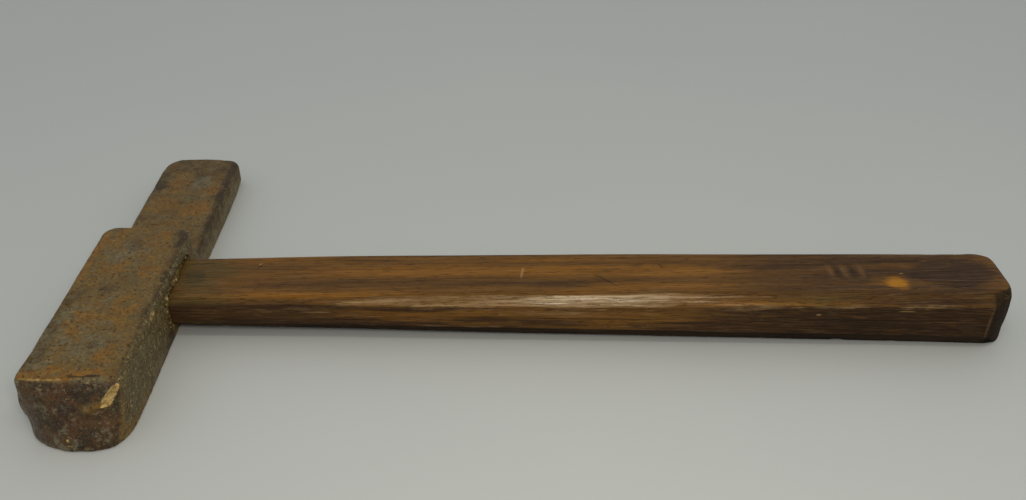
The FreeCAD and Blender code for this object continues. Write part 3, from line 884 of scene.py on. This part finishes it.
def handle_masks(points, normals, rel_y, rel_z, share, on_end, on_ridge):
    """Where the wood is dark, warm, pale, olive and polished, from 0 to 1, with painted highlights on the worn
    upper bevel and ridges and painted shade on its downward faces.
    """
    x = points[:, 0]
    to_near, up = -normals[:, 1], normals[:, 2]
    top, near = ramp(up, 0.75, 0.93), ramp(to_near, 0.75, 0.93)
    upper_bevel = ramp(to_near, 0.25, 0.5) * ramp(up, 0.25, 0.5)
    lower_bevel = ramp(to_near, 0.25, 0.5) * ramp(-up, 0.2, 0.4)
    streak = rough_noise(points, (60.0, 3.2, 3.2), seed=71, layers=3)
    fine = rough_noise(points, (22.0, 1.4, 1.4), seed=72, layers=2)
    ragged = 0.5 * rough_noise(points, (16.0, 4.0, 4.0), seed=73)
    long_lines = rough_noise(points, (95.0, 1.9, 1.9), seed=75, layers=2)
    surfaces = {"top": (top, x, rel_y), "near": (near, x, rel_z), "flecked": (near * (0.7 + fine), x, rel_z)}
    added = marked(HANDLE_MARKS, surfaces, ragged)
    for mask, surface, across, along, amount in HANDLE_STRIPES:
        where, _, place = surfaces[surface]
        added[mask] = added[mask] + amount * where * band(place, *across) * band(x, *along)

    handled = upper_bevel * ramp(x, 60, 150)
    # painted highlight along the worn upper bevel, where the lamp reflects; that stretch is also the most
    # polished
    painted_highlight = np.exp(-(((x - HIGHLIGHT_PLACE) / HIGHLIGHT_LENGTH) ** 2))
    painted_highlight *= 1 - 0.6 * ramp(half_sizes(share)[1] - rel_z, 1.6, 3.0)
    # how polished the wood is; its brightest stretch also gets the painted highlight colour
    shine = 0.06 + 0.1 * streak + handled * (0.10 * band(x, 110, 330, 50) + 0.55 * painted_highlight)
    warm = 0.35 + 0.5 * rough_noise(points, (80.0, 5.0, 5.0), seed=74, layers=2) + added["warm"]
    olive = 0.8 * ramp(x, 70.0, 38.0) * (1 - on_end) * (1 - 0.6 * near) + added["olive"]
    olive += 0.5 * upper_bevel * ramp(x, 290, 350)

    dark = 0.22 + 0.26 * streak + 0.12 * fine + 0.16 * share + added["dark"]
    dark += near * (0.14 + 0.55 * ramp(x, 155, 75) + 0.70 * ramp(x, 270, 335) - 0.15 * band(x, 180, 290, 30))
    dark += near * (0.25 * ramp(rel_z, 1.0, -4.0) * ramp(x, 235, 280) + 0.2 * ramp(rel_z, 0.0, -5.0))
    dark += 0.35 * near * ramp(long_lines, 0.0, 0.45) * ramp(x, 400.0, 330.0)
    dark += 0.30 * top * ramp(x, 290, 330) * ramp(x, 440, 400) - 0.3 * handled * band(x, 100, 300, 40)
    dark += upper_bevel * (0.32 * ramp(x, 130, 75) + 0.15 * ramp(x, 300, 400))
    dark += 0.65 * ramp(x, NEAR_BEVEL_START, NEAR_BEVEL_START + 4.0) * (1 - top)
    # painted shade: the lower bevel and the downward faces are darkened
    dark += 0.35 * lower_bevel + 0.55 * ramp(-up, 0.6, 0.9)

    pale = added["pale"] + 0.07 * near * band(x, 150.0, 310.0, 25.0)
    # the worn upper bevel is paler wood, lifted further by a painted highlight over its middle stretch
    pale += handled * (0.50 + 0.18 * band(x, 90, 260, 40) - 0.44 * ramp(x, 270, 340))
    pale += handled * (0.38 * painted_highlight + 0.12 * streak)
    pale += 0.34 * near * ramp(-long_lines, 0.05, 0.5) * band(x, 70.0, 320.0, 40.0)
    # pale lines along the ridges: edge wear with a painted highlight
    ridge = on_ridge * (0.26 + 0.10 * ramp(x, 290, 340)) * (up > 0)
    pale += ridge * ramp(fine, -0.4, 0.5) * ramp(x, 60, 120)
    pale += 0.30 * on_ridge * band(up, 0.15, 0.60, 0.1) * ramp(x, 300, 335) * ramp(fine, -0.6, 0.3)

    off_spot = np.hypot((x - 383) / 6.5, (rel_y + 8) / 6.2) + 0.25 * ragged
    worn = top * (0.8 * ramp(off_spot, 1.25, 0.2) + 0.22 * spot(x, rel_y, (379, -5), (10, 7), ragged))
    # painted shade: the downward faces go near-black; the near chamfer and the near side towards the butt are
    # darker wood
    under = (0.35 + 0.3 * ramp(x, 400.0, 330.0)) * ramp(-up, 0.25, 0.45) + 0.6 * ramp(-up, 0.5, 0.75)
    under += 0.5 * ramp(x, NEAR_BEVEL_START, NEAR_BEVEL_START + 2.5) * ramp(to_near, 0.2, 0.4)
    under = (under + 0.20 * near * ramp(x, 300.0, 370.0)) * (1 - on_end)
    end = np.maximum(on_end, ramp(normals[:, 0], 0.60, 0.85))
    masks = dict(dark=dark, warm=warm, pale=pale, olive=olive, shine=shine, worn=worn, under=under, end=end)
    return {label: np.clip(mask, 0, 1) for label, mask in masks.items()}


def old_hickory():
    """Dark, oiled and handled hardwood: long streaks, open pores, worn ridges and small knocks, with painted
    highlights on the upper bevel and ridges and painted shade underneath.
    """
    look = Look("old_hickory")
    dark, warm, pale, olive, shine, worn, under, end = look.masks("dark warm pale olive shine worn under end")
    wide = look.even(6.0, (26, 1, 1), detail=3, roughness=0.55, seed=1)
    streak = look.even(1.8, (60, 1, 1), detail=4, roughness=0.6, seed=2)
    fibre = look.even(0.8, (45, 1, 1), detail=3, roughness=0.65, seed=3)
    blotch = look.even(15, (2.5, 1, 1), detail=4, seed=4)
    mottle = look.even(2.2, (3.0, 1, 1), detail=3, roughness=0.6, seed=7)
    lines = look.even(0.6, (90, 1, 1), detail=2, roughness=0.6, seed=6)
    pore = look.ramp(look.noise(0.7, (10, 1, 1), detail=3, roughness=0.6, seed=5), 0.57, 0.66)
    rings = look.ramp(look.noise(1.1, (1, 6, 1), detail=3, seed=8), 0.4, 0.62)

    heat = look.patchy(warm, 0.20, 1.00, (wide, -0.25), (streak, 0.25), (blotch, 0.25))
    gloom = look.patchy(dark, 0.15, 0.95, (wide, 0.16), (streak, 0.20), (fibre, 0.16), (mottle, 0.14))
    green = look.patchy(olive, 0.3, 1.0, (blotch, 0.6), (mottle, 0.2))
    light = look.patchy(pale, 0.25, 1.05, (streak, 0.26), (fibre, 0.28), (mottle, 0.26))
    amber = look.patchy(worn, 0.05, 0.95, (fibre, 0.25), (mottle, 0.3))
    plain = look.between(fibre, (122, 92, 56), (166, 134, 92))
    painted_highlight_tone = look.between(fibre, (146, 114, 74), (220, 194, 154))

    place = look.shaken(2.0, 0.5, seed=9)
    cuts = look.most(*(look.ramp(look.mark(place, *scratch), 0.0, 0.35) for scratch in SCRATCHES))
    nicks = look.most(*(look.ramp(look.mark(place, *nick), 0.0, 0.4) for nick in NICKS))
    colour = look.painted(
        look.between(streak, (94, 62, 20), (120, 81, 34)),
        (heat, 0.8, look.between(fibre, (128, 80, 16), (160, 107, 38))),
        (gloom, 0.88, look.between(fibre, (29, 19, 11), (60, 40, 25))),
        (green, 0.65, look.between(fibre, (68, 56, 24), (90, 76, 36))),
        # where the wood is most polished, its pale streaks take a painted highlight colour
        (light, 0.85, look.mix(look.ramp(shine, 0.15, 0.70), plain, painted_highlight_tone)),
        (look.ramp(lines, 0.55, 0.95), 0.22, rgb(30, 17, 6)),
        (look.ramp(lines, 0.35, 0.05), 0.10, rgb(170, 136, 92)),
        (pore, 0.42, rgb(24, 14, 6)),
        (amber, 0.85, rgb(182, 120, 24)),
        # painted shade on the downward faces, with the darker wood of the butt's near side
        (under, 1.0, rgb(12, 8, 3)),
        (end, 1.0, look.between(rings, (28, 19, 9), (56, 40, 22))),
        (cuts, 0.6, rgb(28, 18, 10)),
        *((look.mark(place, *rub), 0.40, rgb(140, 100, 62)) for rub in RUBS),
        *((look.mark(place, *stain), 0.75, rgb(38, 24, 11)) for stain in STAINS),
        (nicks, 0.42, rgb(182, 146, 92)),
    )

    rough = look.plus(0.52, look.times(shine, -0.15), look.centred(streak, 0.20))
    rough = look.plus(rough, look.times(end, 0.3), look.times(under, 0.5))
    polish = look.times(look.patchy(shine, 0.2, 1.0, (streak, 0.5), (fibre, 0.5)), 0.9)
    polish = look.times(polish, look.one_minus(look.most(under, end)))
    look.set(Base_Color=colour, Roughness=look.most(rough, 0.25), Specular_IOR_Level=0.12)
    look.set(Coat_Weight=polish, Coat_Roughness=0.17)
    look.bump((blotch, 0.12), (streak, 0.07), (fibre, 0.04), (look.one_minus(look.most(pore, cuts)), 0.12))
    return look.material


def on_top(x, rel_y):
    """A place on the handle's top face."""
    middle_y, middle_z, share = centre_line(np.float64(x))
    return (x, float(middle_y) + rel_y, float(middle_z + half_sizes(share)[1]))


def on_near_side(x, rel_z):
    """A place on the handle's near side."""
    middle_y, middle_z, share = centre_line(np.float64(x))
    return (x, float(middle_y - half_sizes(share)[0]), float(middle_z) + rel_z)


SCRATCHES = [
    (on_top(240, -4), (10.5, 0.45, 3), -44.0),
    (on_top(268.5, 8), (3.2, 0.4, 3), -62.0),
    (on_top(64, 9.5), (2.4, 0.5, 3), 55.0),
    (on_top(249, -19), (2.6, 0.5, 3), 20.0),
    (on_top(254, -20.5), (3.2, 0.5, 3), 8.0),
    (on_top(260, -21), (2.0, 0.4, 3), 30.0),
    (on_top(300, -16), (18.0, 0.35, 3), 1.5),
    (on_top(120, 14), (22.0, 0.35, 3), -1.0),
    (on_top(180, -2), (30.0, 0.40, 3), -1.8),
    (on_near_side(110, -2.0), (30.0, 3, 0.45), 0.0),
    (on_near_side(230, 0.5), (40.0, 3, 0.45), -1.6),
    (on_near_side(370, 2.0), (35.0, 3, 0.5), -2.0),
]
NICKS = [
    (on_top(64, 11.5), (1.4, 0.8, 3), 20.0),
    (on_top(387, 1), (1.3, 0.7, 3), 10.0),
    (on_top(198.5, 2.5), (0.9, 5.5, 3), -8.0),
    (on_near_side(342, 5), (1.4, 3, 0.6), 0.0),
    (on_near_side(384, 8), (5.0, 3, 0.4), 0.0),
]
STAINS = [
    (on_top(356, 3), (2.0, 8.0, 3), 4.0),
    (on_top(363.5, 3), (2.0, 8.0, 3), 2.0),
]
RUBS = [
    (on_near_side(424.6, 0), (0.9, 3, 12.0), 0.0),
    (on_top(352.5, 3), (2.0, 7.5, 3), 4.0),
    (on_top(359.5, 3), (2.2, 7.5, 3), 3.0),
    (on_top(368, 3), (2.2, 7.5, 3), 0.0),
]


# ------------------------------------------------------------------ the packing and the wedges

CRUMBS = 220
WEDGE_SIDE_STEPS = 12
BEAD_PROFILE = [
    # from the eye's waist at 0 to its mouth at 1 and beyond, and how far past the block's side
    (0.0, -7.5), (0.95, -6.5), (1.0, -4.5), (1.05, -2.0), (1.3, -0.4), (1.75, -0.1), (2.0, 0.2), (1.9, 0.5),
    (1.6, 0.8), (1.3, 1.2), (1.05, 1.5), (0.8, 1.7), (0.55, 1.7), (0.34, 1.3), (0.2, 0.5), (0.05, -2.5),
    (-0.08, -5.5),
]


def eye_ring(count, half_y, half_z, corner):
    """Points round a rounded rectangle in Y and Z, evenly spaced, about the eye's middle."""
    straight_y, straight_z, quarter = 2 * (half_y - corner), 2 * (half_z - corner), math.pi * corner / 2
    whole = 2 * (straight_y + straight_z) + 4 * quarter
    places = []
    for left in np.arange(count) / count * whole:
        y, z, turn = -(half_y - corner), half_z, 0.0
        for side in (straight_y, straight_z, straight_y, straight_z):
            run = min(left, side)
            bend = min(left - run, quarter)
            left -= run + bend
            middle_y = y + run * math.cos(turn) + corner * math.sin(turn)
            middle_z = z + run * math.sin(turn) - corner * math.cos(turn)
            turn -= bend / corner
            y, z = middle_y - corner * math.sin(turn), middle_z + corner * math.cos(turn)
        places.append((y, z))
    return np.array(places)


def packing_material():
    """Dried, sandy filler: golden grains, pale flecks and dark gaps."""
    look = Look("sandy_packing")
    grain = look.crystals(1.1, seed=1)
    fine = look.noise(0.8, detail=3, seed=2)
    lump = look.noise(2.6, detail=4, seed=3)
    colour = look.painted(
        look.between(grain[0], (66, 50, 22), (118, 96, 52)),
        (look.ramp(grain[1], 0.72, 0.98), 1.0, rgb(168, 146, 96)),
        (look.ramp(lump, 0.52, 0.36), 1.0, rgb(44, 32, 15)),
    )
    look.set(Base_Color=colour, Roughness=look.ramp(fine, 0.2, 0.8, 0.6, 0.95), Specular_IOR_Level=0.15)
    look.bump((lump, 0.5), (grain[2], 0.35), (fine, 0.2))
    return look.material


def make_packing(material):
    count = 420
    inner = eye_ring(count, EYE_WAIST_HALF[0] - 0.4, EYE_WAIST_HALF[1] - 0.3, HANDLE_CORNER)
    outer = eye_ring(count, EYE_MOUTH_HALF[0] - 0.2, EYE_MOUTH_HALF[1] - 0.2, EYE_CORNER)
    points = np.concatenate([
        np.insert(inner + (outer - inner) * blend + [0.0, EYE_HEIGHT], 0, HALF_WIDTH + past, axis=1)
        for blend, past in BEAD_PROFILE
    ])
    numbers = list(range(len(BEAD_PROFILE)))
    faces = ring_faces(count, zip(numbers, numbers[1:] + numbers[:1]))
    normals = vertex_normals(points, faces)
    bead_front = normals[8 * count : 10 * count, 0]
    if bead_front.mean() < 0:
        normals = -normals
    out = ramp(points[:, 0], HALF_WIDTH - 1.5, HALF_WIDTH + 0.2)
    ragged = 0.7 * noise(points, 3.4, 81) + 0.4 * noise(points, 1.5, 82) + 0.2 * noise(points, 0.9, 83)
    gone = ramp(noise(points * [0.0, 1.0, 1.0], 5.0, seed=84), 0.1, 0.6)
    points = points + normals * (out * (ragged - 0.25))[:, None]
    points[:, 0] -= out * gone * 1.3
    points[:, 0] = np.minimum(points[:, 0], PACKING_HIGH[0])
    return make_piece("eye_packing", points, [faces], material, None, "eye_packing")


def make_crumbs(material):
    """Broken grains of the packing, stuck round the mouth of the eye."""
    random = np.random.default_rng(12)
    around = eye_ring(200, EYE_MOUTH_HALF[0] + 0.1, EYE_MOUTH_HALF[1] + 0.2, EYE_CORNER)
    steps, turns = 6, 8
    tilts, bearings = math.pi * np.arange(1, steps) / steps, 2 * math.pi * np.arange(turns) / turns
    tilt, turn = np.meshgrid(tilts, bearings, indexing="ij")
    ball = np.stack([np.sin(tilt) * np.cos(turn), np.sin(tilt) * np.sin(turn), np.cos(tilt)], -1)
    ball = np.concatenate([ball.reshape(-1, 3), [(0, 0, 1), (0, 0, -1)]])
    top, bottom = len(ball) - 2, len(ball) - 1
    last = (steps - 2) * turns
    quads = ring_faces(turns, [(k, k + 1) for k in range(steps - 2)])
    fans = []
    for j in range(turns):
        after = (j + 1) % turns
        fans += [(top, after, j), (bottom, last + j, last + after)]
    points, all_quads, all_fans = [], [], []
    for k in range(CRUMBS):
        y, z = around[random.integers(len(around))] + random.normal(0, 0.7, 2)
        lump = ball * random.uniform(0.25, 0.7, 3)
        lump = lump * (1 + 0.35 * noise(ball + 7.3 * k, 0.8, seed=90)[:, None])
        points.append(lump + [HALF_WIDTH + random.uniform(-0.1, 1.0), y, z + EYE_HEIGHT])
        all_quads.append(quads + len(ball) * k)
        all_fans.append(np.array(fans) + len(ball) * k)
    faces = [np.concatenate(all_quads), np.concatenate(all_fans)]
    return make_piece("packing_crumbs", np.concatenate(points), faces, material, None, None)


def wedge_points(low, high, thin_axis, tip, flare):
    """A tapered slab along +X: full and a little burred at its outer end, thin at its tip."""
    x = np.array([low[0], low[0] + 0.25, low[0] + 0.9, low[0] + 2.0, *np.linspace(low[0] + 4, high[0], 10)])
    middle = [(a + b) / 2 for a, b in zip(low, high)]
    half = [(b - a) / 2 for a, b in zip(low, high)]
    corners, steps = ((-1, -1), (1, -1), (1, 1), (-1, 1)), np.arange(WEDGE_SIDE_STEPS) / WEDGE_SIDE_STEPS
    sections = []
    for place in x:
        along = (place - low[0]) / (high[0] - low[0])
        burr = flare * max(0.0, 1 - (place - low[0]) / 2.0) - (0.45 if place == low[0] else 0.0)
        size = [half[1] + burr, half[2] + burr]
        size[thin_axis - 1] = (half[thin_axis] + burr) * (1 - along) + tip / 2 * along
        sections.append([
            [middle[k + 1] + size[k] * (here[k] + (there[k] - here[k]) * t) for k in (0, 1)]
            for here, there in zip(corners, corners[1:] + corners[:1]) for t in steps
        ])
    return np.array(sections), x


def make_wedge(node, thin_axis, tip, flare, material, seed):
    low, high = node_box(node)
    sections, x = wedge_points(low, high, thin_axis, tip, flare)
    points, quads, fans, _, _ = loft(sections, x, first_cap=7, last_cap=3)
    shifts = [rough_noise(points, size, seed=seed + k) for k, size in enumerate((2.2, 2.5, 2.5))]
    points = points + 0.16 * np.stack(shifts, -1)
    points[:, 0] = np.maximum(points[:, 0], low[0] - 0.1)
    return make_piece(node, points, [quads, fans], material, None, node)


def wedge_wood():
    look = Look("wedge_wood")
    streak = look.noise(0.9, (10, 1, 1), detail=4, seed=1)
    rings = look.noise(0.7, (1, 9, 1), detail=3, seed=2)
    dirt = look.noise(4, detail=4, seed=3)
    colour = look.painted(
        look.between(look.ramp(streak, 0.3, 0.7), (116, 88, 54), (150, 120, 78)),
        (look.ramp(rings, 0.5, 0.62), 1.0, rgb(84, 60, 36)),
        (look.ramp(dirt, 0.45, 0.65), 1.0, rgb(54, 40, 27)),
    )
    look.set(Base_Color=colour, Roughness=look.ramp(dirt, 0.3, 0.7, 0.6, 0.85))
    look.bump((streak, 0.2), (rings, 0.2))
    return look.material


def wedge_steel():
    look = Look("wedge_steel")
    fine = look.noise(0.8, detail=4, roughness=0.65, seed=1)
    patch = look.noise(3.5, detail=4, seed=2)
    rust = look.patchy(patch, 0.42, 0.6, (fine, 0.5))
    bright = look.between(fine, (92, 88, 80), (138, 134, 124))
    colour = look.mix(rust, bright, look.between(fine, (92, 54, 28), (140, 90, 46)))
    look.set(Base_Color=colour)
    look.set(Roughness=look.ramp(rust, 0.0, 1.0, 0.35, 0.8), Metallic=look.ramp(rust, 0.0, 1.0, 0.85, 0.1))
    look.bump((patch, 0.3), (fine, 0.15))
    return look.material


# ------------------------------------------------------------------ floor, light and camera

def make_floor():
    """A large plain pale table top."""
    look = Look("pale_floor")
    cloud = look.noise(180, detail=2, seed=1)
    look.set(Base_Color=look.between(cloud, (197, 196, 189), (202, 201, 193)))
    look.set(Roughness=look.ramp(cloud, 0.2, 0.8, 0.55, 0.65))
    mesh = bpy.data.meshes.new("floor")
    corners = [(x * FLOOR_HALF, y * FLOOR_HALF, 0) for x, y in ((-1, -1), (1, -1), (1, 1), (-1, 1))]
    mesh.from_pydata(corners, [], [(0, 1, 2, 3)])
    mesh.materials.append(look.material)
    floor = placed("floor", mesh)
    floor.location.z = -0.0001


def make_light(name, place, target, size, power, colour):
    light = bpy.data.lights.new(name, "AREA")
    light.shape = "RECTANGLE"
    light.size, light.size_y = size
    light.energy = power
    light.color = colour
    lamp = placed(name, light)
    lamp.location = place
    lamp.rotation_euler = (Vector(target) - Vector(place)).to_track_quat("-Z", "Y").to_euler()


def make_world():
    world = bpy.data.worlds.new("soft_room")
    world.use_nodes = True
    background = world.node_tree.nodes["Background"]
    background.inputs["Color"].default_value = (0.90, 0.96, 1.0, 1.0)
    background.inputs["Strength"].default_value = 0.52
    bpy.context.scene.world = world
    bpy.context.scene.view_settings.view_transform = "Standard"


CAMERA_PLACE = (0.193207, -0.412401, 0.319099)
CAMERA_DOWN, CAMERA_TURN, CAMERA_ROLL = 34.134, 0.105, -0.44
CAMERA_LENS = 35.009


def make_camera():
    down, turn, roll = (math.radians(v) for v in (CAMERA_DOWN, CAMERA_TURN, CAMERA_ROLL))
    forward = Vector((math.sin(turn) * math.cos(down), math.cos(turn) * math.cos(down), -math.sin(down)))
    right = Vector((math.cos(turn), -math.sin(turn), 0.0))
    up = right.cross(forward)
    across = right * math.cos(roll) + up * math.sin(roll)
    upward = up * math.cos(roll) - right * math.sin(roll)
    data = bpy.data.cameras.new("camera")
    data.lens, data.sensor_width, data.sensor_fit = CAMERA_LENS, 36.0, "HORIZONTAL"
    data.clip_start = 0.01
    camera = placed("camera", data)
    camera.matrix_world = Matrix((across, upward, -forward)).transposed().to_4x4()
    camera.location = CAMERA_PLACE
    bpy.context.scene.camera = camera


make_camera()
make_world()
make_floor()
make_light("front", (0.245, -0.44, 0.40), (0.20, -0.02, 0.0), (0.12, 0.08), 0.80, (1.0, 0.95, 0.85))
make_light("above", (0.262, -0.25, 0.72), (0.228, -0.03, 0.03), (0.30, 0.05), 0.60, (1.0, 0.97, 0.90))

make_head()
make_handle()
packing = packing_material()
make_packing(packing)
make_crumbs(packing)
make_wedge("wooden_wedge", 2, 0.8, 0.1, wedge_wood(), 101)
steel = wedge_steel()
make_wedge("steel_wedge_front", 1, 0.4, 0.35, steel, 111)
make_wedge("steel_wedge_back", 1, 0.4, 0.35, steel, 121)
